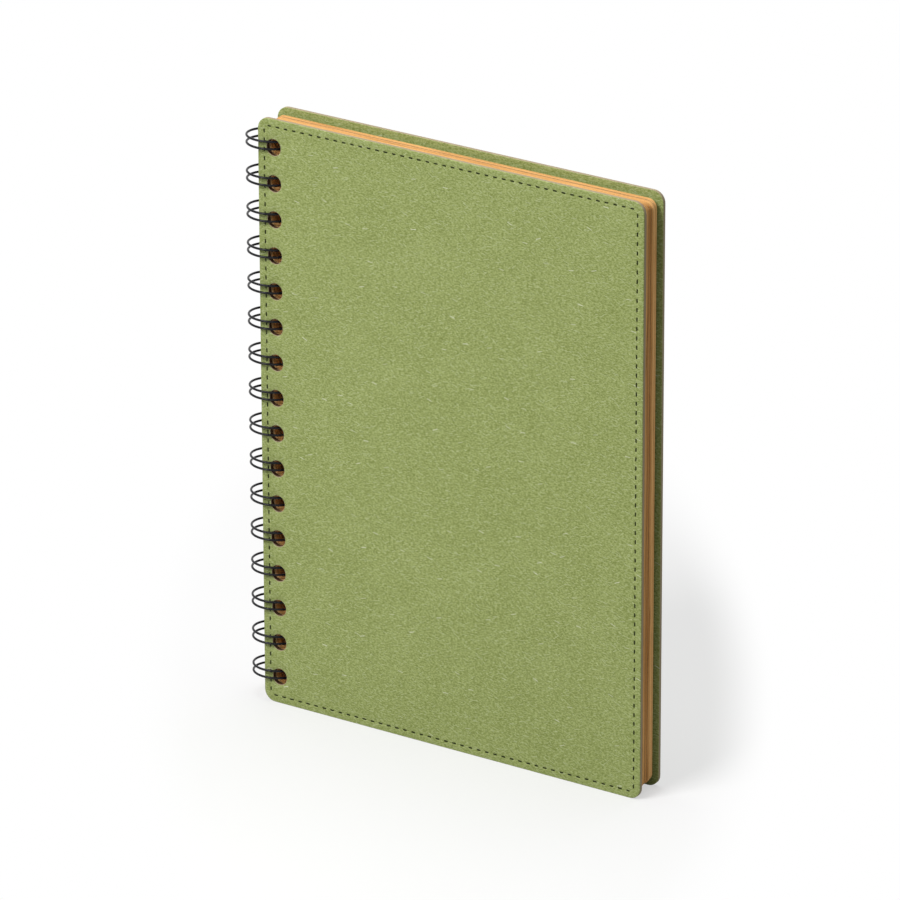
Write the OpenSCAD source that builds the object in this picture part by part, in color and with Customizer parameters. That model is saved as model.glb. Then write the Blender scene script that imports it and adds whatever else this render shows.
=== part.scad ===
// Spiral notebook: two stitched board covers and a block of kraft pages on a twin-loop wire.
// It stands upright: X runs from the spine to the fore edge, Y from the front cover to the back.
// The origin is the middle of its foot, below the centre of the space that it fills.

/* [Covers] */
// Width of each cover, spine edge to fore edge
cover_w = 148; // [90:1:220]
// Height of each cover
cover_h = 210; // [120:1:300]
// Thickness of each cover board
cover_t = 1.5; // [0.8:0.1:3]
// Radius of the covers' corners
cover_corner_r = 4; // [1:0.5:12]

/* [Stitched seam] */
// Distance of the seam from the cover's edge
seam_inset = 2.5; // [1.5:0.1:2.8]
// Radius of the seam at the corners
seam_corner_r = 1.5; // [1:0.1:4]
// Width of the channel that the thread pulls into the board
seam_w = 0.7; // [0.3:0.1:1]
// Depth of that channel
seam_depth = 0.15; // [0.05:0.05:0.3]

/* [Pages] */
// Thickness of the whole block of sheets
block_t = 8.3; // [4:0.1:16]
// How far the sheets stop short of the covers at head and foot
sheet_inset_ends = 2; // [0.5:0.1:5]
// How far the sheets stop short of the covers at the fore edge
sheet_inset_fore = 0.9; // [0.2:0.1:5]
// Distance from a sheet's spine edge to the centres of its holes
sheet_hole_edge = 5.6; // [5:0.1:6.5]
// Radius of the sheets' corners
sheet_corner_r = 3; // [0.5:0.5:10]
// Room between the front cover and the first sheet
front_gap = 0.2; // [0.1:0.1:1]
// Room between the last sheet and the back cover, where the wire is closed
closing_gap = 1.7; // [1.3:0.1:3]

/* [Punched holes] */
// Distance from one hole to the next, two holes to the inch
hole_pitch = 12.7; // [10:0.1:16]
// Width of a hole, across the spine
hole_w = 5.4; // [5:0.1:6.4]
// Height of a hole, along the spine
hole_h = 5.8; // [5.6:0.1:7]
// Distance from a cover's spine edge to the centres of its holes
cover_hole_edge = 6.2; // [6:0.1:9]
// Least length of cover above the top hole and below the bottom one
hole_end_margin = 6; // [5:0.5:20]

/* [Wire binding] */
// Diameter of the wire
wire_d = 0.8; // [0.6:0.05:1]
// Distance between the two wires of one loop
twin_gap = 2.6; // [2.2:0.1:3]
// Radius of the bend from a loop into the straight wire between loops
foot_bend_r = 0.8; // [0.5:0.1:1.2]
// Room between the wire and the wall of a sheet's hole
wire_play = 0.2; // [0.1:0.05:0.3]
// How far the belly of the wire pushes the sheets past the covers' holes
sheet_lag = 0.5; // [0:0.1:1]
// How far from the middle of a cover's hole the wire crosses it, towards the spine
wire_offset = 0.3; // [0:0.1:0.5]
// Gap left between the tip of a loop and its foot where the loop is closed
tip_gap = 0.4; // [0.3:0.1:1]
// Length of the cut end of the wire past the first and the last loop
wire_stub = 1.5; // [0.5:0.5:3]

/* [Hidden] */

cover_color = "#9aa96b";
sheet_color = "#c98f5a";
wire_color = "#1d1c1f";

// Flats in each corner of a cover or a sheet
corner_flats = 8;
// Round faces: the punched holes, the big loops, and the thin wire
hole_fn = 64;
loop_fn = 72;
bend_fn = 32;
wire_fn = 16;
// How far a cutter runs past the face that it cuts
over = 0.5;
// Two stretches of wire end this far apart, and a ball just inside them joins them
joint_gap = 0.05;
joint_r = wire_d / 2 - 0.02;

hole_count = floor((cover_h - 2 * hole_end_margin - hole_h) / hole_pitch) + 1;
hole_first = (cover_h - (hole_count - 1) * hole_pitch) / 2;
hole_z = [for (i = [0 : hole_count - 1]) hole_first + i * hole_pitch];

block_y = cover_t + front_gap;
back_y = block_y + block_t + closing_gap;
book_t = back_y + cover_t;

sheet_hole_x = cover_hole_edge + sheet_lag;
sheet_x = sheet_hole_x - sheet_hole_edge;
sheet_w = cover_w - sheet_inset_fore - sheet_x;
sheet_h = cover_h - 2 * sheet_inset_ends;

// The loop is a circle through two points: where it crosses the covers, and its belly in the sheets
wire_r = wire_d / 2;
twin_half = twin_gap / 2;
hole_round_z = twin_half - (hole_h - hole_w) / 2;
belly_x = sheet_hole_x + sqrt(pow(hole_w / 2 - wire_r - wire_play, 2) - pow(hole_round_z, 2));
cross_x = cover_hole_edge - wire_offset;
cross_y = (book_t - cover_t) / 2;
loop_x = (pow(belly_x, 2) - pow(cross_x, 2) - pow(cross_y, 2)) / (2 * (belly_x - cross_x));
loop_y = book_t / 2;
loop_r = belly_x - loop_x;

// The straight wires between loops lie in the middle of the closing gap
foot_y = back_y - closing_gap / 2;
foot_half = twin_half + foot_bend_r;
foot_rise = (foot_y - loop_y) / norm([loop_r, foot_bend_r]);
foot_angle = asin(foot_rise) - atan2(foot_bend_r, loop_r);
tip_reach = foot_bend_r + wire_r + tip_gap + wire_r + twin_half;
tip_angle = foot_angle + tip_reach / loop_r * 180 / PI;

// The pieces are laid out from the front cover's spine edge, then moved to stand on the origin
middle_x = (cover_w + loop_x - loop_r - wire_r) / 2;
middle_y = book_t / 2;

function on_loop(a) = [loop_x + loop_r * cos(a), loop_y + loop_r * sin(a), 0];
function past_loop(a, d) = on_loop(a) + d * [-sin(a), cos(a), 0];

module over_origin() {
    translate([-middle_x, -middle_y, 0]) children();
}

// The quarter turn of an outline about one corner's centre, from the angle start on
function corner_points(x, z, r, start) = [
    for (i = [0 : corner_flats])
        let (a = start + 90 * i / corner_flats)
        [x + r * cos(a), z + r * sin(a)]
];

// A rectangle whose corners are rounded in short flats, on which the standing book doesn't rock
module rounded_outline(x, z, w, h, r) {
    polygon(concat(
        corner_points(x + w - r, z + r, r, -90),
        corner_points(x + w - r, z + h - r, r, 0),
        corner_points(x + r, z + h - r, r, 90),
        corner_points(x + r, z + r, r, 180)
    ));
}

// A flat sheet that stands in the XZ plane, with its front face at y
module upright(y, t) {
    translate([0, y + t, 0]) rotate([90, 0, 0]) linear_extrude(t) children();
}

module hole_outline(x, z) {
    rise = (hole_h - hole_w) / 2;
    translate([x - hole_w / 2, z - rise]) square([hole_w, 2 * rise]);
    for (side = [-1, 1])
        translate([x, z + side * rise]) circle(hole_w / 2, $fn = hole_fn);
}

module punched_row(x, y, t) {
    for (z = hole_z)
        upright(y - over, t + 2 * over) hole_outline(x, z);
}

// The channel that the lockstitch pulls into one face of a cover
module seam_channel(y) {
    half = seam_w / 2;
    far = seam_inset + half;
    near = seam_inset - half;
    upright(y, seam_depth) difference() {
        rounded_outline(near, near, cover_w - 2 * near, cover_h - 2 * near, seam_corner_r + half);
        rounded_outline(far, far, cover_w - 2 * far, cover_h - 2 * far, seam_corner_r - half);
    }
}

module cover_board(y, seam_y) {
    color(cover_color) over_origin() difference() {
        upright(y, cover_t) rounded_outline(0, 0, cover_w, cover_h, cover_corner_r);
        punched_row(cover_hole_edge, y, cover_t);
        seam_channel(seam_y);
    }
}

module front_cover() {
    cover_board(0, 0);
}

module back_cover() {
    cover_board(back_y, book_t - seam_depth);
}

module page_block() {
    color(sheet_color) over_origin() difference() {
        upright(block_y, block_t)
            rounded_outline(sheet_x, sheet_inset_ends, sheet_w, sheet_h, sheet_corner_r);
        punched_row(sheet_hole_x, block_y, block_t);
    }
}

// A bent stretch of wire that stops half a joint gap short of the angle at each end
module wire_arc(r, angle, fn) {
    short = joint_gap / 2 / r * 180 / PI;
    rotate([0, 0, short]) rotate_extrude(angle = angle - 2 * short, $fn = fn)
        translate([r, 0]) circle(wire_r, $fn = wire_fn);
}

// Stands an arc on its edge: its X axis points up and its Y axis along the heading
module on_edge(heading) {
    rotate([0, 0, heading - 90]) rotate([0, -90, 0]) children();
}

// The ball where two stretches of wire meet has its poles along the wire
module joint_ball() {
    sphere(joint_r, $fn = bend_fn);
}

module loop_joint(angle, z) {
    translate(on_loop(angle) + [0, 0, z]) rotate([-90, 0, angle]) joint_ball();
}

// The upper (1) or the lower (-1) wire of a loop, from its foot between the last sheet and the
// back cover round to its tip
module loop_side(side) {
    translate([loop_x, loop_y, side * twin_half]) rotate([0, 0, tip_angle])
        wire_arc(loop_r, 360 + foot_angle - tip_angle, loop_fn);
    translate(on_loop(foot_angle) + [0, 0, side * foot_half]) on_edge(foot_angle + 90)
        rotate([0, 0, 45 + side * 45]) wire_arc(foot_bend_r, 90, bend_fn);
    loop_joint(tip_angle, side * twin_half);
    loop_joint(foot_angle, side * twin_half);
    translate(past_loop(foot_angle, foot_bend_r) + [0, 0, side * foot_half]) joint_ball();
}

// A hairpin: two wires side by side, joined by a round tip
module twin_loop() {
    for (side = [-1, 1]) loop_side(side);
    translate(on_loop(tip_angle)) on_edge(tip_angle - 90) wire_arc(twin_half, 180, bend_fn);
}

module straight_wire(z, length) {
    translate(past_loop(foot_angle, foot_bend_r) + [0, 0, z + joint_gap / 2])
        cylinder(r = wire_r, h = length - joint_gap, $fn = wire_fn);
}

module binding_wire() {
    color(wire_color) over_origin() {
        for (z = hole_z) translate([0, 0, z]) twin_loop();
        for (i = [1 : hole_count - 1])
            straight_wire(hole_z[i - 1] + foot_half, hole_pitch - 2 * foot_half);
        straight_wire(hole_z[0] - foot_half - wire_stub, wire_stub);
        straight_wire(hole_z[hole_count - 1] + foot_half, wire_stub);
    }
}

front_cover();
page_block();
back_cover();
binding_wire();
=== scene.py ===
"""A wire-bound notebook: stitched fibre-board covers and kraft sheets on a black twin-loop wire."""

import math
import random

import bmesh
import bpy
from mathutils import Matrix, Vector


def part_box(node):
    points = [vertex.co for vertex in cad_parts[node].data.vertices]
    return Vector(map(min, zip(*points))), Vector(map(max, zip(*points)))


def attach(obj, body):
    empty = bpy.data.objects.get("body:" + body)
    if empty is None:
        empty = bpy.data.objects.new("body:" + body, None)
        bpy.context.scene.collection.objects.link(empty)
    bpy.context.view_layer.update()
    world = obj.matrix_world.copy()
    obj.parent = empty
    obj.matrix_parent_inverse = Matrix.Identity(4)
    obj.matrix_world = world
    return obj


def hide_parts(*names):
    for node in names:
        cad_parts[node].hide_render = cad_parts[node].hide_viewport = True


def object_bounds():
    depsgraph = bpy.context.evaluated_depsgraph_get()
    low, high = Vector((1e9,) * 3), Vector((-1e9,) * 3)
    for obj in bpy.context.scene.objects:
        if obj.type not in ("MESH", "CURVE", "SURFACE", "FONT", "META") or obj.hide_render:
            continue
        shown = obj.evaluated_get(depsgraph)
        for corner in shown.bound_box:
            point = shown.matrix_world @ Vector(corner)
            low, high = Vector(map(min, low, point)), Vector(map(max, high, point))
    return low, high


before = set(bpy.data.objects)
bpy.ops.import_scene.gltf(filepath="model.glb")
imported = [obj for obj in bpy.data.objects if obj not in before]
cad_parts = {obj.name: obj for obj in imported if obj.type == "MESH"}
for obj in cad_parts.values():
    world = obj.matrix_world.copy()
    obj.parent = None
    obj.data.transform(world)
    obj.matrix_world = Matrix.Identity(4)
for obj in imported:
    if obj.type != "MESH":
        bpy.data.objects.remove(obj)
cad_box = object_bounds()

# Cover boards
# Two boards of pressed, dyed fibre with a pale grey-brown core. Each is die-cut with round corners
# and 16 punched holes, its edges are rolled a little, and a seam is sewn round its outer face.
MM = 0.001
COVER_CORNER = 4.0 * MM
CORNER_STEPS = 8
OUTER_ROLL = 0.28 * MM
INNER_ROLL = 0.15 * MM
ROLL_STEPS = 5
HOLE_COUNT = 16
HOLE_PITCH = 12.7 * MM
HOLE_WIDTH = 5.4 * MM
HOLE_HEIGHT = 5.8 * MM
HOLE_STEPS = 40
HOLE_ROLL = 0.15 * MM
HOLE_ROLL_MIDDLE = 0.3 * HOLE_ROLL
COVER_HOLE_EDGE = 6.2 * MM
SEAM_INSET = 2.5 * MM
SEAM_REACH = 0.8 * MM
SEAM_ROWS = 8
STITCH_PITCH = 3.2 * MM
STITCH_LENGTH = 1.95 * MM
STITCH_START = 0.5 * MM
STITCH_STEPS = 8
DIP_DEPTH = 0.17 * MM
DIP_BETWEEN = 0.05 * MM
DIP_WIDTH = 0.34 * MM
DIP_END_POWER = 6
LIP_HEIGHT = 0.25 * DIP_BETWEEN
LIP_AWAY = 2.0 * DIP_WIDTH
LIP_WIDTH = 0.5 * DIP_WIDTH
BOARD_SHARP_DEGREES = 50
FACE, CUT, PUNCHED = range(3)

cover_low, cover_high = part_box("front_cover")
first_hole_z = (cover_low.z + cover_high.z - (HOLE_COUNT - 1) * HOLE_PITCH) / 2
hole_heights = [first_hole_z + i * HOLE_PITCH for i in range(HOLE_COUNT)]
run_across = cover_high.x - cover_low.x - 2 * COVER_CORNER
run_up = cover_high.z - cover_low.z - 2 * COVER_CORNER
stitches_across = round(run_across / STITCH_PITCH)
stitches_up = round(run_up / STITCH_PITCH)


def rounded_ring(low, high, radius, inset, steps_x, steps_z):
    """Points round a rectangle with round corners, and for each one its side and its share of that side."""
    points, places = [], []
    r = radius - inset
    corners = [
        (high.x - radius, low.z + radius, -90),
        (high.x - radius, high.z - radius, 0),
        (low.x + radius, high.z - radius, 90),
        (low.x + radius, low.z + radius, 180),
    ]
    for side, (cx, cz, start) in enumerate(corners):
        for i in range(CORNER_STEPS):
            a = math.radians(start + 90 * i / CORNER_STEPS)
            points.append((cx + r * math.cos(a), cz + r * math.sin(a)))
            places.append(None)
        a = math.radians(start + 90)
        x0, z0 = cx + r * math.cos(a), cz + r * math.sin(a)
        nx, nz, _ = corners[(side + 1) % 4]
        steps = steps_x if side % 2 else steps_z
        for i in range(steps):
            t = i / steps
            points.append((x0 + (nx - cx) * t, z0 + (nz - cz) * t))
            places.append((side, t))
    return points, places


def punched_ring(cx, cz, grow, steps):
    """Points round one punched hole, a little taller than it is wide."""
    rise = (HOLE_HEIGHT - HOLE_WIDTH) / 2
    r = HOLE_WIDTH / 2 + grow
    points = []
    for i in range(steps):
        a = 2 * math.pi * (i + 0.5) / steps
        points.append((cx + r * math.cos(a), cz + math.copysign(rise, math.sin(a)) + r * math.sin(a)))
    return points


def stitch_middle(i, run, count):
    """How far along a straight run the middle of stitch i lies. The end ones reach into the corners."""
    reach = STITCH_LENGTH / 2 - STITCH_START
    return reach + (run - 2 * reach) * i / (count - 1)


def seam_dip(place, off):
    """How deep the board is pulled in at a place of the seam, off metres away from its line."""
    across = math.exp(-((off / DIP_WIDTH) ** 2))
    if place is None:
        return DIP_BETWEEN * across
    side, share = place
    run, count = (run_across, stitches_across) if side % 2 else (run_up, stitches_up)
    first = stitch_middle(0, run, count)
    pitch = stitch_middle(1, run, count) - first
    nearest = round((share * run - first) / pitch) * pitch
    along = abs(share * run - first - nearest) / (STITCH_LENGTH / 2)
    under = max(0.0, 1.0 - along ** DIP_END_POWER)
    lip = LIP_HEIGHT * math.exp(-(((abs(off) - LIP_AWAY) / LIP_WIDTH) ** 2))
    return (DIP_BETWEEN + (DIP_DEPTH - DIP_BETWEEN) * under) * across - lip * under


def edge_profile(thick):
    """The lines of a board's rolled edge: how far in and how deep each lies, and what follows it."""
    profile = []
    for k in range(ROLL_STEPS + 1):
        a = math.pi / 2 * k / ROLL_STEPS
        strip = FACE if k < ROLL_STEPS else CUT
        profile.append((OUTER_ROLL * (1 - math.sin(a)), OUTER_ROLL * (1 - math.cos(a)), strip))
    for k in range(ROLL_STEPS + 1):
        a = math.pi / 2 * k / ROLL_STEPS
        profile.append((INNER_ROLL * (1 - math.cos(a)), thick - INNER_ROLL * (1 - math.sin(a)), FACE))
    return profile


def add_ring(mesh, points, ys):
    """A closed ring of vertices from points in the XZ plane, each at its own Y."""
    return [mesh.verts.new((x, y, z)) for (x, z), y in zip(points, ys)]


def flat_ring(mesh, points, y):
    """A closed ring of vertices that all lie at one Y."""
    return add_ring(mesh, points, [y] * len(points))


def join_rings(mesh, a, b, material=0):
    """A strip of faces between two rings that have the same number of points."""
    n = len(a)
    for i in range(n):
        j = (i + 1) % n
        mesh.faces.new((a[i], a[j], b[j], b[i])).material_index = material


def fill_between(mesh, outline, holes):
    """A flat face inside a ring, open at the holes."""
    edges = []
    for ring in [outline] + holes:
        for i, v in enumerate(ring):
            w = ring[(i + 1) % len(ring)]
            edges.append(mesh.edges.get((v, w)) or mesh.edges.new((v, w)))
    bmesh.ops.triangle_fill(mesh, edges=edges, use_beauty=True, use_dissolve=False)


def finish_mesh(mesh, name, materials, sharp_degrees):
    """Turns a bmesh into an object with smooth faces and crisp edges past an angle."""
    bmesh.ops.recalc_face_normals(mesh, faces=mesh.faces)
    data = bpy.data.meshes.new(name)
    mesh.to_mesh(data)
    mesh.free()
    piece = bpy.data.objects.new(name, data)
    bpy.context.scene.collection.objects.link(piece)
    for m in materials:
        data.materials.append(m)
    data.polygons.foreach_set("use_smooth", [True] * len(data.polygons))
    data.set_sharp_from_angle(angle=math.radians(sharp_degrees))
    return piece


def cover_mesh(name, low, high, outer_y, inner_y, materials):
    """One board, from its seam outwards, over the rolled edge and onto its inner face."""
    inward = 1 if inner_y > outer_y else -1
    thick = abs(inner_y - outer_y)
    steps = (stitches_across * STITCH_STEPS, stitches_up * STITCH_STEPS)
    rows = []
    for k in range(SEAM_ROWS + 1):
        off = SEAM_REACH * (1 - 2 * k / SEAM_ROWS)
        points, places = rounded_ring(low, high, COVER_CORNER, SEAM_INSET + off, *steps)
        flat = k in (0, SEAM_ROWS)
        rows.append((points, [0.0 if flat else seam_dip(place, off) for place in places], FACE))
    for inset, depth, strip in edge_profile(thick):
        points, _ = rounded_ring(low, high, COVER_CORNER, inset, *steps)
        rows.append((points, [depth] * len(points), strip))
    mesh = bmesh.new()
    rings = [add_ring(mesh, points, [outer_y + inward * d for d in depths]) for points, depths, _ in rows]
    for a, b, (_, _, strip) in zip(rings, rings[1:], rows):
        join_rings(mesh, a, b, strip)
    outer_holes, inner_holes = [], []
    wall = [(HOLE_ROLL, 0.0), (HOLE_ROLL_MIDDLE, HOLE_ROLL_MIDDLE), (0.0, HOLE_ROLL), (0.0, thick)]
    for cz in hole_heights:
        chain = []
        for grow, depth in wall:
            points = punched_ring(low.x + COVER_HOLE_EDGE, cz, grow, HOLE_STEPS)
            chain.append(flat_ring(mesh, points, outer_y + inward * depth))
        for a, b, strip in zip(chain, chain[1:], (CUT, CUT, PUNCHED)):
            join_rings(mesh, a, b, strip)
        outer_holes.append(chain[0])
        inner_holes.append(chain[-1])
    fill_between(mesh, rings[0], outer_holes)
    fill_between(mesh, rings[-1], inner_holes)
    return finish_mesh(mesh, name, materials, BOARD_SHARP_DEGREES)


MOTTLE_STRETCH = (0.55, 1.0, 1.0)
MOTTLE_SCALE = 2.1
MOTTLE_CONTRAST = 4.0
CLOUD_SCALE = 0.09
CLOUD_CONTRAST = 0.35
FIBRE_BEND = 0.08
FIBRE_SPREAD = 1.5
FIBRE_FULL_SHARE = 0.6
FIBRE_FAINTNESS = 1.6
FIBRE_RAISE = 0.8
LAYER_SHIFT = 37.7
# The spacing, length and width of each layer of fibres, in millimetres
PALE_FIBRES = ((1.5, 1.2, 0.15), (2.6, 2.0, 0.15), (4.8, 3.0, 0.15))
PALE_STRENGTH = 0.72
DARK_FIBRES = ((1.3, 1.0, 0.17), (2.7, 1.7, 0.18))
DARK_STRENGTH = 0.60
WHITE_FIBRES = ((10.0, 2.4, 0.20),)
WHITE_SPREAD = 0.9
WHITE_STRENGTH = 0.75
BOARD_DARK = (0.200, 0.246, 0.062)
BOARD_LIGHT = (0.372, 0.428, 0.166)
BOARD_PALE_FIBRE = (0.560, 0.620, 0.370)
BOARD_WHITE_FIBRE = (0.820, 0.840, 0.680)
BOARD_DARK_FIBRE = (0.135, 0.170, 0.040)
CORE_STRETCH = (0.6, 5.0, 0.6)
CORE_DARK = (0.300, 0.235, 0.150)
CORE_LIGHT = (0.460, 0.380, 0.255)
# Painted shade: the hole walls are coloured near black to dark brown, as if little light reached them
HOLE_SHADE_DARK = (0.030, 0.016, 0.008)
HOLE_SHADE_BROWN = (0.150, 0.085, 0.045)


def new_material(name):
    """An empty node material, its node tree and its Principled node."""
    material = bpy.data.materials.new(name)
    material.use_nodes = True
    tree = material.node_tree
    return material, tree, tree.nodes["Principled BSDF"]


def feed(tree, value, socket):
    """Sets a socket to a number or a colour, or links another node's output to it."""
    if isinstance(value, bpy.types.NodeSocket):
        tree.links.new(value, socket)
    elif isinstance(value, tuple):
        socket.default_value = (*value, 1.0)
    else:
        socket.default_value = value


def math_node(tree, operation, a, b=None, c=None, clamp=False):
    """A Math node's result, from sockets or numbers."""
    node = tree.nodes.new("ShaderNodeMath")
    node.operation = operation
    node.use_clamp = clamp
    for socket, value in zip(node.inputs, (a, b, c)):
        if value is not None:
            feed(tree, value, socket)
    return node.outputs[0]


def contrast(tree, value, gain, middle=0.5, clamp=False):
    """A value that varies round a half, spread wider or narrower round another middle."""
    return math_node(tree, "MULTIPLY_ADD", math_node(tree, "SUBTRACT", value, 0.5), gain, middle, clamp)


def ranged(tree, value, start, end, to_start=0.0, to_end=1.0, curve="SMOOTHSTEP"):
    """A value between start and end, brought to the range between to_start and to_end."""
    node = tree.nodes.new("ShaderNodeMapRange")
    node.interpolation_type = curve
    feed(tree, value, node.inputs["Value"])
    feed(tree, start, node.inputs["From Min"])
    feed(tree, end, node.inputs["From Max"])
    feed(tree, to_start, node.inputs["To Min"])
    feed(tree, to_end, node.inputs["To Max"])
    return node.outputs[0]


def mix_colors(tree, factor, a, b):
    """A colour between two others, each written out or taken from a socket."""
    node = tree.nodes.new("ShaderNodeMix")
    node.data_type = "RGBA"
    first, second = [s for s in node.inputs if s.type == "RGBA"]
    feed(tree, factor, node.inputs["Factor"])
    feed(tree, a, first)
    feed(tree, b, second)
    return [s for s in node.outputs if s.type == "RGBA"][0]


def split_vector(tree, vector):
    """The X, Y and Z of a vector socket, by name."""
    node = tree.nodes.new("ShaderNodeSeparateXYZ")
    tree.links.new(vector, node.inputs[0])
    return node.outputs


def millimetres(tree):
    """The place on the piece in millimetres, which moves with the piece."""
    place = tree.nodes.new("ShaderNodeTexCoord")
    scale = tree.nodes.new("ShaderNodeVectorMath")
    scale.operation = "SCALE"
    scale.inputs["Scale"].default_value = 1.0 / MM
    tree.links.new(place.outputs["Object"], scale.inputs[0])
    return scale.outputs[0]


def stretched(tree, place, amounts):
    """A place multiplied along each axis: a pattern is drawn out where the amount is small."""
    node = tree.nodes.new("ShaderNodeVectorMath")
    node.operation = "MULTIPLY"
    node.inputs[1].default_value = amounts
    tree.links.new(place, node.inputs[0])
    return node.outputs[0]


def noise_node(tree, place, scale, detail, roughness):
    """A Noise node's value at a place in millimetres."""
    node = tree.nodes.new("ShaderNodeTexNoise")
    node.inputs["Scale"].default_value = scale
    node.inputs["Detail"].default_value = detail
    node.inputs["Roughness"].default_value = roughness
    tree.links.new(place, node.inputs["Vector"])
    return node.outputs["Fac"]


def bump_into(tree, shader, height, distance, strength):
    """Feeds a height through a Bump node into a shader's normal."""
    node = tree.nodes.new("ShaderNodeBump")
    node.inputs["Distance"].default_value = distance
    node.inputs["Strength"].default_value = strength
    tree.links.new(height, node.inputs["Height"])
    tree.links.new(node.outputs["Normal"], shader.inputs["Normal"])


def set_gloss(shader, roughness, specular):
    """How rough a surface is and how much it reflects, the same all over."""
    shader.inputs["Roughness"].default_value = roughness
    shader.inputs["Specular IOR Level"].default_value = specular


def scattered_fibres():
    """A group that lays short curved fibres at random in the XZ plane, most of them near the X axis."""
    group = bpy.data.node_groups.new("scattered_fibres", "ShaderNodeTree")
    face = group.interface
    face.new_socket("Place", in_out="INPUT", socket_type="NodeSocketVector")
    for name in ("Spacing", "Length", "Width", "Layer", "Bend", "Spread"):
        face.new_socket(name, in_out="INPUT", socket_type="NodeSocketFloat")
    for name in ("Fibre", "Shade"):
        face.new_socket(name, in_out="OUTPUT", socket_type="NodeSocketFloat")
    nodes, links = group.nodes, group.links
    put = nodes.new("NodeGroupInput").outputs
    spot = split_vector(group, put["Place"])
    layer_shift = math_node(group, "MULTIPLY", put["Layer"], LAYER_SHIFT)
    flat = nodes.new("ShaderNodeCombineXYZ")
    links.new(math_node(group, "ADD", spot["X"], layer_shift), flat.inputs["X"])
    links.new(math_node(group, "ADD", spot["Z"], layer_shift), flat.inputs["Y"])
    cells = nodes.new("ShaderNodeTexVoronoi")
    cells.voronoi_dimensions = "2D"
    links.new(flat.outputs[0], cells.inputs["Vector"])
    links.new(math_node(group, "DIVIDE", 1.0, put["Spacing"]), cells.inputs["Scale"])
    away = nodes.new("ShaderNodeVectorMath")
    away.operation = "SUBTRACT"
    links.new(flat.outputs[0], away.inputs[0])
    links.new(cells.outputs["Position"], away.inputs[1])
    chance = nodes.new("ShaderNodeSeparateColor")
    links.new(cells.outputs["Color"], chance.inputs[0])
    turn_by, bend_by, shade = chance.outputs
    turn = nodes.new("ShaderNodeVectorRotate")
    turn.rotation_type = "Z_AXIS"
    links.new(away.outputs[0], turn.inputs["Vector"])
    tilt = math_node(group, "SUBTRACT", turn_by, 0.5)
    links.new(math_node(group, "MULTIPLY", tilt, put["Spread"]), turn.inputs["Angle"])
    local = split_vector(group, turn.outputs[0])
    along, aside = local["X"], local["Y"]
    bend = math_node(group, "MULTIPLY", math_node(group, "SUBTRACT", bend_by, 0.5), put["Bend"])
    curved = math_node(group, "MULTIPLY_ADD", math_node(group, "MULTIPLY", along, along), bend, aside)
    thin = ranged(group, math_node(group, "ABSOLUTE", curved), 0.0, put["Width"], 1.0, 0.0)
    reach = math_node(group, "MULTIPLY", put["Length"], 0.5)
    full = math_node(group, "MULTIPLY", reach, FIBRE_FULL_SHARE)
    short = ranged(group, math_node(group, "ABSOLUTE", along), full, reach, 1.0, 0.0)
    got = nodes.new("NodeGroupOutput").inputs
    links.new(math_node(group, "MULTIPLY", thin, short), got["Fibre"])
    links.new(shade, got["Shade"])
    return group


fibre_group = scattered_fibres()


def fibre_layers(tree, place, sizes, first_layer, spread=FIBRE_SPREAD):
    """Layers of fibres, each fibre with its own strength, one layer for each of the sizes."""
    strongest = None
    for layer, (spacing, length, width) in enumerate(sizes, first_layer):
        node = tree.nodes.new("ShaderNodeGroup")
        node.node_tree = fibre_group
        tree.links.new(place, node.inputs["Place"])
        node.inputs["Spacing"].default_value = spacing
        node.inputs["Length"].default_value = length
        node.inputs["Width"].default_value = width
        node.inputs["Layer"].default_value = layer
        node.inputs["Bend"].default_value = FIBRE_BEND
        node.inputs["Spread"].default_value = spread
        strength = math_node(tree, "POWER", node.outputs["Shade"], FIBRE_FAINTNESS)
        fibres = math_node(tree, "MULTIPLY", node.outputs["Fibre"], strength)
        strongest = math_node(tree, "MAXIMUM", strongest, fibres) if strongest else fibres
    return strongest


def board_face():
    """Dyed fibre board: a fine mottle with pale and dark fibres pressed into it."""
    material, tree, shader = new_material("board_face")
    place = millimetres(tree)
    drawn_out = stretched(tree, place, MOTTLE_STRETCH)
    fine = noise_node(tree, drawn_out, scale=MOTTLE_SCALE, detail=3.0, roughness=0.72)
    broad = noise_node(tree, place, scale=CLOUD_SCALE, detail=2.0, roughness=0.5)
    mottle = contrast(tree, broad, CLOUD_CONTRAST, contrast(tree, fine, MOTTLE_CONTRAST), clamp=True)
    pale = fibre_layers(tree, place, PALE_FIBRES, first_layer=1)
    dark = fibre_layers(tree, place, DARK_FIBRES, first_layer=7)
    white = fibre_layers(tree, place, WHITE_FIBRES, first_layer=12, spread=WHITE_SPREAD)
    tone = mix_colors(tree, mottle, BOARD_DARK, BOARD_LIGHT)
    tone = mix_colors(tree, math_node(tree, "MULTIPLY", dark, DARK_STRENGTH), tone, BOARD_DARK_FIBRE)
    tone = mix_colors(tree, math_node(tree, "MULTIPLY", pale, PALE_STRENGTH), tone, BOARD_PALE_FIBRE)
    tone = mix_colors(tree, math_node(tree, "MULTIPLY", white, WHITE_STRENGTH), tone, BOARD_WHITE_FIBRE)
    tree.links.new(tone, shader.inputs["Base Color"])
    set_gloss(shader, roughness=0.88, specular=0.25)
    height = math_node(tree, "MULTIPLY_ADD", pale, FIBRE_RAISE, fine)
    bump_into(tree, shader, height, distance=0.06 * MM, strength=0.5)
    return material


def board_cut():
    """The die-cut edge of the board: its grey-brown core, with the fibre layers on edge."""
    material, tree, shader = new_material("board_cut")
    drawn_out = stretched(tree, millimetres(tree), CORE_STRETCH)
    layers = noise_node(tree, drawn_out, scale=1.6, detail=3.0, roughness=0.6)
    tree.links.new(mix_colors(tree, layers, CORE_DARK, CORE_LIGHT), shader.inputs["Base Color"])
    set_gloss(shader, roughness=0.92, specular=0.2)
    bump_into(tree, shader, layers, distance=0.08 * MM, strength=0.6)
    return material


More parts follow.
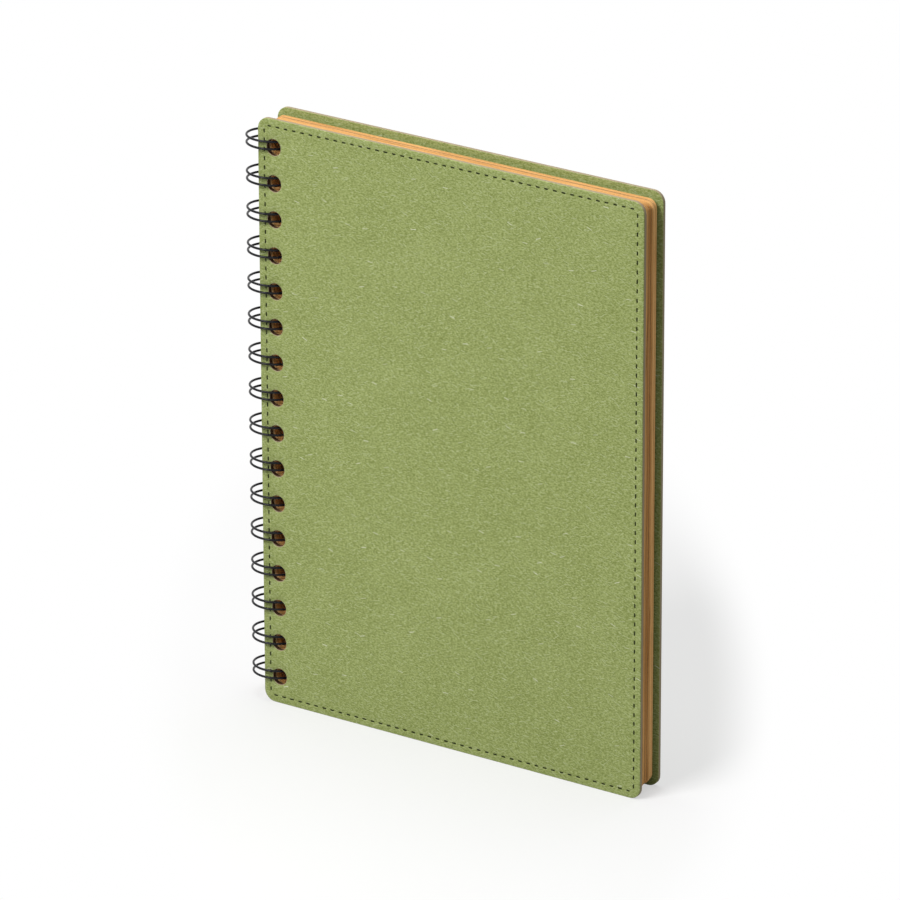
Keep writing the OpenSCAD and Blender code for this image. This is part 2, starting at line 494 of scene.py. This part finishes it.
def board_punched():
    """The walls of a board's holes: torn fibres, coloured near black to dark brown as painted shade inside
    the holes.
    """
    material, tree, shader = new_material("board_punched")
    torn = noise_node(tree, millimetres(tree), scale=4.0, detail=3.0, roughness=0.7)
    # Painted shade inside the holes, varied by the torn-fibre noise
    tree.links.new(mix_colors(tree, torn, HOLE_SHADE_DARK, HOLE_SHADE_BROWN), shader.inputs["Base Color"])
    set_gloss(shader, roughness=0.95, specular=0.1)
    bump_into(tree, shader, torn, distance=0.10 * MM, strength=0.8)
    return material


board_materials = [board_face(), board_cut(), board_punched()]
back_low, back_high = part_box("back_cover")
front_board = cover_mesh("front_board", cover_low, cover_high, cover_low.y, cover_high.y, board_materials)
back_board = cover_mesh("back_board", back_low, back_high, back_high.y, back_low.y, board_materials)
for board, node in ((front_board, "front_cover"), (back_board, "back_cover")):
    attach(board, node)
    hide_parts(node)


# Seam thread
# Dark olive thread sewn round the outer face of each cover. Each stitch lies flat in the dip that it
# pulls into the board, and both of its ends go down through a needle hole.
THREAD_HALF_WIDTH = 0.31 * MM
THREAD_HALF_DEPTH = 0.15 * MM
THREAD_SINK = 0.12 * MM
THREAD_DIVE = 0.30 * MM
THREAD_DIVE_POWER = 4
THREAD_TAPER = 0.35
THREAD_TAPER_POWER = 6
THREAD_SLIP = 0.06 * MM
THREAD_SKEW = 0.05 * MM
THREAD_SHORTEST = 0.94
THREAD_LONGEST = 1.04
THREAD_SIDES = 8
THREAD_RINGS = 9
ALL_SMOOTH_DEGREES = 180
THREAD_DARK = (0.008, 0.011, 0.002)
THREAD_LIGHT = (0.034, 0.042, 0.010)


def seam_thread():
    """Twisted sewing thread: dark strands with hardly any sheen."""
    material, tree, shader = new_material("seam_thread")
    strands = noise_node(tree, millimetres(tree), scale=7.0, detail=2.0, roughness=0.6)
    tree.links.new(mix_colors(tree, strands, THREAD_DARK, THREAD_LIGHT), shader.inputs["Base Color"])
    set_gloss(shader, roughness=0.70, specular=0.15)
    bump_into(tree, shader, strands, distance=0.05 * MM, strength=0.7)
    return material


def stitch_places(low, high):
    """The middle and the direction of each stitch in the XZ plane: foot and head, then the long edges."""
    places = []
    for i in range(stitches_across):
        x = low.x + COVER_CORNER + stitch_middle(i, run_across, stitches_across)
        places += [(x, low.z + SEAM_INSET, 1, 0), (x, high.z - SEAM_INSET, 1, 0)]
    for i in range(stitches_up):
        z = low.z + COVER_CORNER + stitch_middle(i, run_up, stitches_up)
        places += [(low.x + SEAM_INSET, z, 0, 1), (high.x - SEAM_INSET, z, 0, 1)]
    return places


def thread_mesh(name, low, high, outer_y, inner_y, material, seed):
    """All the stitches of one cover, each a little out of line and a little longer or shorter."""
    inward = 1 if inner_y > outer_y else -1
    chance = random.Random(seed)
    mesh = bmesh.new()
    for cx, cz, dx, dz in stitch_places(low, high):
        slip = chance.uniform(-1, 1) * THREAD_SLIP
        skew = chance.uniform(-1, 1) * THREAD_SKEW
        half = STITCH_LENGTH / 2 * chance.uniform(THREAD_SHORTEST, THREAD_LONGEST)
        rings = []
        for k in range(THREAD_RINGS):
            t = 2 * k / (THREAD_RINGS - 1) - 1
            sink = THREAD_SINK + THREAD_DIVE * t ** THREAD_DIVE_POWER
            slim = 1 - THREAD_TAPER * t ** THREAD_TAPER_POWER
            mx = cx + dx * (slip + t * half) + dz * skew * t
            mz = cz + dz * (slip + t * half) + dx * skew * t
            ring = []
            for s in range(THREAD_SIDES):
                a = 2 * math.pi * s / THREAD_SIDES
                side = THREAD_HALF_WIDTH * slim * math.cos(a)
                y = outer_y + inward * (sink - THREAD_HALF_DEPTH * math.sin(a))
                ring.append(mesh.verts.new((mx + dz * side, y, mz + dx * side)))
            rings.append(ring)
        for a, b in zip(rings, rings[1:]):
            join_rings(mesh, a, b)
        mesh.faces.new(rings[0])
        mesh.faces.new(list(reversed(rings[-1])))
    return finish_mesh(mesh, name, [material], ALL_SMOOTH_DEGREES)


thread = seam_thread()
front_stitches = thread_mesh(
    "front_stitches", cover_low, cover_high, cover_low.y, cover_high.y, thread, seed=11
)
back_stitches = thread_mesh("back_stitches", back_low, back_high, back_high.y, back_low.y, thread, seed=12)
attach(front_stitches, "front_cover")
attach(back_stitches, "back_cover")


# Block of sheets
# About a hundred kraft sheets, trimmed in a guillotine with round corners and punched like the covers.
# They hang loose on the wire, so some slip a little past others and the block parts into bundles.
SHEET_CORNER = 3.0 * MM
SHEET_HOLE_EDGE = 5.6 * MM
LEAF_COUNT = 42
LEAF_GAP_SHARE = 0.10
LEAF_SLIP = 0.10 * MM
LEAF_SEED = 5
LEAF_HOLE_STEPS = 24
LEAF_SHARP_DEGREES = 40
BUNDLE_BREAKS = (0.36, 0.52, 0.80)
BUNDLE_GAP = 0.42 * MM
BUNDLE_SLIP = 0.45 * MM
EDGE_STEP = 6.0 * MM
TRIMMED = 1
KRAFT_DARK = (0.550, 0.325, 0.140)
KRAFT_LIGHT = (0.710, 0.440, 0.205)
KRAFT_SPECK = (0.300, 0.150, 0.050)
SPECK_FIBRES = ((1.8, 1.0, 0.10),)
SPECK_SPREAD = 6.2
SPECK_STRENGTH = 0.6
PULP_CONTRAST = 1.8
TRIMMED_DARK = (0.500, 0.215, 0.045)
TRIMMED_LIGHT = (0.960, 0.560, 0.210)
TRIMMED_STRETCH = (0.015, 1.0, 0.015)
TRIMMED_CONTRAST = 2.6
# Painted shade: a dark colour put on the edges in thin random lines, where sheets stand apart and shade
# falls between them
SHADE_BETWEEN_SHEETS = (0.180, 0.080, 0.020)
SHADE_LINES_FROM = 0.40
SHADE_LINES_FULL = 0.34
# Painted light and shade on the fore edge: how light each bundle is painted, from the first sheet, 0, to
# the last, 1
FORE_PAINTED_LIGHT_AND_SHADE = ((0.24, 0.62), (0.34, 0.15), (0.62, 0.20), (0.70, 0.92), (0.95, 0.92), (1.00, 0.50))

block_low, block_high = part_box("page_block")


def kraft_paper():
    """The face of a sheet: uncoated kraft, cloudy with pulp and flecked with short dark fibres."""
    material, tree, shader = new_material("kraft_paper")
    place = millimetres(tree)
    pulp = noise_node(tree, place, scale=1.1, detail=4.0, roughness=0.65)
    tone = mix_colors(tree, contrast(tree, pulp, PULP_CONTRAST, clamp=True), KRAFT_DARK, KRAFT_LIGHT)
    speck = fibre_layers(tree, place, SPECK_FIBRES, first_layer=21, spread=SPECK_SPREAD)
    tone = mix_colors(tree, math_node(tree, "MULTIPLY", speck, SPECK_STRENGTH), tone, KRAFT_SPECK)
    tree.links.new(tone, shader.inputs["Base Color"])
    set_gloss(shader, roughness=0.85, specular=0.3)
    bump_into(tree, shader, pulp, distance=0.03 * MM, strength=0.5)
    return material


def painted_fore_light_and_shade(tree, place):
    """Painted light and shade: how light each bundle is painted where the block faces the fore edge, and a
    half everywhere else.
    """
    start, end = block_low.y / MM, block_high.y / MM
    through = ranged(tree, split_vector(tree, place)["Y"], start, end, curve="LINEAR")
    levels = tree.nodes.new("ShaderNodeValToRGB")
    stops = levels.color_ramp.elements
    for i, (position, level) in enumerate(FORE_PAINTED_LIGHT_AND_SHADE):
        stop = stops[i] if i < 2 else stops.new(position)
        stop.position = position
        stop.color = (level, level, level, 1.0)
    tree.links.new(through, levels.inputs[0])
    facing = split_vector(tree, tree.nodes.new("ShaderNodeTexCoord").outputs["Normal"])
    fore = math_node(tree, "MAXIMUM", facing["X"], 0.0)
    return contrast(tree, levels.outputs["Color"], fore)


def trimmed_edges():
    """The trimmed and punched edges of the sheets: fine lines, with painted shade in dark lines where
    sheets stand apart, and painted light and shade on the bundles of the fore edge.
    """
    material, tree, shader = new_material("trimmed_edges")
    place = millimetres(tree)
    drawn_out = stretched(tree, place, TRIMMED_STRETCH)
    lines = noise_node(tree, drawn_out, scale=1.9, detail=4.0, roughness=0.7)
    # The middle of this tone carries the fore edge's painted light and shade
    shade = contrast(tree, lines, TRIMMED_CONTRAST, painted_fore_light_and_shade(tree, place), clamp=True)
    tone = mix_colors(tree, shade, TRIMMED_DARK, TRIMMED_LIGHT)
    # Painted shade between sheets, where the lines fall below the threshold
    tone = mix_colors(tree, ranged(tree, lines, SHADE_LINES_FROM, SHADE_LINES_FULL), tone, SHADE_BETWEEN_SHEETS)
    tree.links.new(tone, shader.inputs["Base Color"])
    set_gloss(shader, roughness=0.88, specular=0.2)
    bump_into(tree, shader, lines, distance=0.08 * MM, strength=0.6)
    return material


def leaf_stack(name, low, high, materials):
    """The block as thin leaves of a few sheets each, in bundles with a narrow gap between them."""
    chance = random.Random(LEAF_SEED)
    step = (high.y - low.y - len(BUNDLE_BREAKS) * BUNDLE_GAP) / LEAF_COUNT
    room = 0.5 * (BUNDLE_SLIP + LEAF_SLIP)
    edge_steps = (round((high.x - low.x) / EDGE_STEP), round((high.z - low.z) / EDGE_STEP))
    mesh = bmesh.new()
    y, bundle, bundle_fore, bundle_lift = low.y, 0, 0.0, 0.0
    for leaf in range(LEAF_COUNT):
        if bundle < len(BUNDLE_BREAKS) and leaf / LEAF_COUNT > BUNDLE_BREAKS[bundle]:
            bundle += 1
            y += BUNDLE_GAP
            bundle_fore = chance.uniform(0.0, 1.0) * BUNDLE_SLIP
            bundle_lift = chance.uniform(-0.5, 0.5) * BUNDLE_SLIP
        fore = bundle_fore + chance.uniform(0.0, 1.0) * LEAF_SLIP
        lift = bundle_lift + chance.uniform(-0.5, 0.5) * LEAF_SLIP
        leaf_low = Vector((low.x, 0, low.z + room + lift))
        leaf_high = Vector((high.x - fore, 0, high.z - room + lift))
        outline, _ = rounded_ring(leaf_low, leaf_high, SHEET_CORNER, 0.0, *edge_steps)
        faces = []
        for face_y in (y + step * LEAF_GAP_SHARE, y + step):
            ring = flat_ring(mesh, outline, face_y)
            holes = []
            for cz in hole_heights:
                points = punched_ring(low.x + SHEET_HOLE_EDGE, cz, 0.0, LEAF_HOLE_STEPS)
                holes.append(flat_ring(mesh, points, face_y))
            faces.append((ring, holes))
        (near, near_holes), (far, far_holes) = faces
        join_rings(mesh, near, far, TRIMMED)
        for a, b in zip(near_holes, far_holes):
            join_rings(mesh, a, b, TRIMMED)
        fill_between(mesh, near, near_holes)
        fill_between(mesh, far, far_holes)
        y += step
    return finish_mesh(mesh, name, materials, LEAF_SHARP_DEGREES)


sheets = leaf_stack("kraft_sheets", block_low, block_high, [kraft_paper(), trimmed_edges()])
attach(sheets, "book")
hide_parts("page_block")


# Twin-loop wire
# One length of steel wire with a glossy black coat, bent into a hairpin loop for each hole and
# pressed shut, with its seam in the gap before the back cover. The loops have settled a little askew.
WIRE_RADIUS = 0.4 * MM
WIRE_SIDES = 12
WIRE_SHARP_DEGREES = 60
LOOP_STEPS = 72
BEND_STEPS = 7
TWIN_HALF = 1.3 * MM
FOOT_BEND = 0.8 * MM
TIP_GAP = 0.4 * MM
WIRE_STUB = 1.5 * MM
HOLE_PLAY = 0.2 * MM
CROSS_OFFSET = 0.3 * MM
LOOP_LEAN = -0.075
LEAN_SPREAD = 0.006
LEAN_MIDDLE = -1.0 * MM
LEAN_SEED = 3
WIRE_BLACK = (0.006, 0.006, 0.008)
WIRE_WORN = (0.014, 0.014, 0.016)
WIRE_ROUGH_LEAST = 0.12
WIRE_ROUGH_RANGE = 0.14
WIRE_SPECULAR = 0.14

# The loop is a circle through where it crosses the covers and where its belly lies in the sheets' holes
cross_x = cover_low.x + COVER_HOLE_EDGE - CROSS_OFFSET
cross_y = (back_high.y - cover_low.y) / 2 - (cover_high.y - cover_low.y) / 2
loop_y = (cover_low.y + back_high.y) / 2
round_z = TWIN_HALF - (HOLE_HEIGHT - HOLE_WIDTH) / 2
belly_x = block_low.x + SHEET_HOLE_EDGE
belly_x += math.sqrt((HOLE_WIDTH / 2 - WIRE_RADIUS - HOLE_PLAY) ** 2 - round_z ** 2)
loop_x = (belly_x ** 2 - cross_x ** 2 - cross_y ** 2) / (2 * (belly_x - cross_x))
loop_radius = belly_x - loop_x

# Its feet lie in the middle of the closing gap, and its tip stops short of them
foot_rise = ((block_high.y + back_low.y) / 2 - loop_y) / math.hypot(loop_radius, FOOT_BEND)
foot_angle = math.asin(foot_rise) - math.atan2(FOOT_BEND, loop_radius)
tip_reach = FOOT_BEND + WIRE_RADIUS + TIP_GAP + WIRE_RADIUS + TWIN_HALF
tip_angle = foot_angle + tip_reach / loop_radius


def loop_point(angle, z):
    """A place on the loop's circle, z above its middle."""
    return Vector((loop_x + loop_radius * math.cos(angle), loop_y + loop_radius * math.sin(angle), z))


def half_loop(side):
    """Points of a loop's upper (1) or lower (-1) wire, from its foot round to its tip."""
    ahead = Vector((-math.sin(foot_angle), math.cos(foot_angle), 0))
    foot_end = loop_point(foot_angle, 0) + ahead * FOOT_BEND
    points = []
    for k in range(BEND_STEPS):
        a = math.pi / 2 * k / BEND_STEPS
        back = FOOT_BEND * (1 - math.cos(a))
        rise = TWIN_HALF + FOOT_BEND - FOOT_BEND * math.sin(a)
        points.append(foot_end - ahead * back + Vector((0, 0, side * rise)))
    turn = 2 * math.pi + foot_angle - tip_angle
    for k in range(LOOP_STEPS + 1):
        points.append(loop_point(foot_angle - turn * k / LOOP_STEPS, side * TWIN_HALF))
    return points


def tip_points():
    """The round end of a hairpin, from its lower wire to its upper one."""
    ahead = Vector((math.sin(tip_angle), -math.cos(tip_angle), 0))
    points = []
    for k in range(1, 2 * BEND_STEPS):
        a = math.pi * k / (2 * BEND_STEPS)
        points.append(loop_point(tip_angle, -TWIN_HALF * math.cos(a)) + ahead * TWIN_HALF * math.sin(a))
    return points


def wire_path():
    """The centre line of the whole wire, from its lower cut end to its upper one."""
    chance = random.Random(LEAN_SEED)
    shape = half_loop(-1) + tip_points() + list(reversed(half_loop(1)))
    path = []
    for z in hole_heights:
        lean = LOOP_LEAN + chance.uniform(-1, 1) * LEAN_SPREAD
        for p in shape:
            path.append(Vector((p.x, p.y, p.z + z + lean * (p.y - loop_y - LEAN_MIDDLE))))
    path.insert(0, path[0] - Vector((0, 0, WIRE_STUB)))
    path.append(path[-1] + Vector((0, 0, WIRE_STUB)))
    return path


def swept_wire(name, path, material):
    """A round wire swept along its centre line, with flat cut ends."""
    mesh = bmesh.new()
    rings = []
    heading = (path[1] - path[0]).normalized()
    side = heading.orthogonal().normalized()
    for i, p in enumerate(path):
        before = (p - path[i - 1]).normalized() if i else heading
        after = (path[i + 1] - p).normalized() if i + 1 < len(path) else before
        tangent = (before + after).normalized()
        side = (side - tangent * side.dot(tangent)).normalized()
        other = tangent.cross(side)
        ring = []
        for s in range(WIRE_SIDES):
            a = 2 * math.pi * s / WIRE_SIDES
            ring.append(mesh.verts.new(p + (side * math.cos(a) + other * math.sin(a)) * WIRE_RADIUS))
        rings.append(ring)
    for a, b in zip(rings, rings[1:]):
        join_rings(mesh, a, b)
    mesh.faces.new(rings[0])
    mesh.faces.new(list(reversed(rings[-1])))
    return finish_mesh(mesh, name, [material], WIRE_SHARP_DEGREES)


def coated_wire():
    """Black coat on steel: glossy, with a faint unevenness."""
    material, tree, shader = new_material("coated_wire")
    uneven = noise_node(tree, millimetres(tree), scale=1.5, detail=3.0, roughness=0.6)
    tree.links.new(mix_colors(tree, uneven, WIRE_BLACK, WIRE_WORN), shader.inputs["Base Color"])
    roughness = math_node(tree, "MULTIPLY_ADD", uneven, WIRE_ROUGH_RANGE, WIRE_ROUGH_LEAST)
    tree.links.new(roughness, shader.inputs["Roughness"])
    shader.inputs["Specular IOR Level"].default_value = WIRE_SPECULAR
    bump_into(tree, shader, uneven, distance=0.02 * MM, strength=0.3)
    return material


wire = swept_wire("twin_loop_wire", wire_path(), coated_wire())
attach(wire, "book")
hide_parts("binding_wire")


# Studio
# A white floor in a white room, with a soft lamp in front from the left and another overhead. The
# camera stands a little to the right of the front cover and looks down on it through a long lens.
FLOOR_SIZE = 8.0
FLOOR_SEEN = (0.80, 0.80, 0.80)
FLOOR_BOUNCE = (0.50, 0.50, 0.50)
NEAR_LIFT = 0.55
SHADOW_MIDDLE = (-0.027, 0.042, 0.0)
SHADOW_TURN_DEGREES = 32.7
SHADOW_REACH = (0.11, 0.28, 1.0)
LIFT_FROM = 0.78
LIFT_TO = 1.0
ROOM_LIGHT = 0.20
LAMP_AIM = Vector((0, 0, 0.1))
KEY_PLACE = Vector((-0.50, -1.40, 1.60))
KEY_SIZE = 0.9
KEY_WATTS = 40
TOP_PLACE = Vector((-0.10, 0.20, 1.90))
TOP_SIZE = 1.2
TOP_WATTS = 17
CAMERA_TURN_DEGREES = 32.684
CAMERA_RISE_DEGREES = 23.131
CAMERA_ROLL_DEGREES = -0.150
CAMERA_DISTANCE = 2.577858
CAMERA_LENS = 315.086
CAMERA_SENSOR = 36.0
CAMERA_REACH = 20
LOOK_AT = Vector((cover_low.x + 74.421 * MM, cover_low.y, 108.308 * MM))


def seen_directly(tree):
    """1 for what the camera sees, straight or in a reflection, and 0 for light that falls on the object."""
    path = tree.nodes.new("ShaderNodeLightPath")
    seen = math_node(tree, "MAXIMUM", path.outputs["Is Camera Ray"], path.outputs["Is Glossy Ray"])
    return math_node(tree, "MAXIMUM", seen, path.outputs["Is Transmission Ray"])


def white_floor():
    """White paper under a painted white glow for the camera: inside an oval round the object the glow is
    mixed in part, so a weakened soft shadow stays, and further out it is plain white.
    """
    material, tree, shader = new_material("white_floor")
    tree.nodes.remove(shader)
    seen = seen_directly(tree)
    paper = tree.nodes.new("ShaderNodeBsdfDiffuse")
    tree.links.new(mix_colors(tree, seen, FLOOR_BOUNCE, FLOOR_SEEN), paper.inputs["Color"])
    white = tree.nodes.new("ShaderNodeEmission")
    place = tree.nodes.new("ShaderNodeTexCoord")
    oval = tree.nodes.new("ShaderNodeMapping")
    oval.vector_type = "TEXTURE"
    oval.inputs["Location"].default_value = SHADOW_MIDDLE
    oval.inputs["Rotation"].default_value = (0, 0, math.radians(SHADOW_TURN_DEGREES))
    oval.inputs["Scale"].default_value = SHADOW_REACH
    tree.links.new(place.outputs["Object"], oval.inputs["Vector"])
    away = tree.nodes.new("ShaderNodeVectorMath")
    away.operation = "LENGTH"
    tree.links.new(oval.outputs[0], away.inputs[0])
    # Painted light: a white glow that lifts the cast shadow, NEAR_LIFT of it inside the oval and all of it
    # outside
    lift = ranged(tree, away.outputs["Value"], LIFT_FROM, LIFT_TO, NEAR_LIFT)
    mix = tree.nodes.new("ShaderNodeMixShader")
    tree.links.new(math_node(tree, "MULTIPLY", lift, seen), mix.inputs[0])
    tree.links.new(paper.outputs[0], mix.inputs[1])
    tree.links.new(white.outputs[0], mix.inputs[2])
    tree.links.new(mix.outputs[0], tree.nodes["Material Output"].inputs["Surface"])
    return material


def soft_lamp(name, place, size, watts):
    """A square soft box that faces the object."""
    data = bpy.data.lights.new(name, "AREA")
    data.shape = "SQUARE"
    data.size = size
    data.energy = watts
    lamp = bpy.data.objects.new(name, data)
    bpy.context.scene.collection.objects.link(lamp)
    lamp.location = place
    lamp.rotation_euler = (LAMP_AIM - place).to_track_quat("-Z", "Y").to_euler()


half_floor = FLOOR_SIZE / 2
floor_mesh = bpy.data.meshes.new("floor")
floor_corners = [(x * half_floor, y * half_floor, 0) for x, y in ((-1, -1), (1, -1), (1, 1), (-1, 1))]
floor_mesh.from_pydata(floor_corners, [], [(0, 1, 2, 3)])
floor_mesh.materials.append(white_floor())
floor = bpy.data.objects.new("floor", floor_mesh)
bpy.context.scene.collection.objects.link(floor)
floor.location.z = cad_box[0].z

soft_lamp("key_lamp", KEY_PLACE, KEY_SIZE, KEY_WATTS)
soft_lamp("top_lamp", TOP_PLACE, TOP_SIZE, TOP_WATTS)

world = bpy.data.worlds.new("room")
bpy.context.scene.world = world
world.use_nodes = True
room = world.node_tree
strength = math_node(room, "MULTIPLY_ADD", seen_directly(room), 1.0 - ROOM_LIGHT, ROOM_LIGHT)
room.links.new(strength, room.nodes["Background"].inputs["Strength"])
room.nodes["Background"].inputs["Color"].default_value = (1, 1, 1, 1)

turn = math.radians(CAMERA_TURN_DEGREES)
rise = math.radians(CAMERA_RISE_DEGREES)
back = Vector((math.sin(turn) * math.cos(rise), -math.cos(turn) * math.cos(rise), math.sin(rise)))
right = Vector((math.cos(turn), math.sin(turn), 0))
up = back.cross(right)
upright = Matrix((right, up, back)).transposed().to_4x4()
roll = Matrix.Rotation(math.radians(CAMERA_ROLL_DEGREES), 4, "Z")
camera_data = bpy.data.cameras.new("camera")
camera_data.lens = CAMERA_LENS
camera_data.sensor_width = CAMERA_SENSOR
camera_data.clip_end = CAMERA_REACH
camera = bpy.data.objects.new("camera", camera_data)
bpy.context.scene.collection.objects.link(camera)
camera.matrix_world = Matrix.Translation(LOOK_AT + back * CAMERA_DISTANCE) @ upright @ roll
bpy.context.scene.camera = camera
bpy.context.scene.view_settings.view_transform = "Standard"
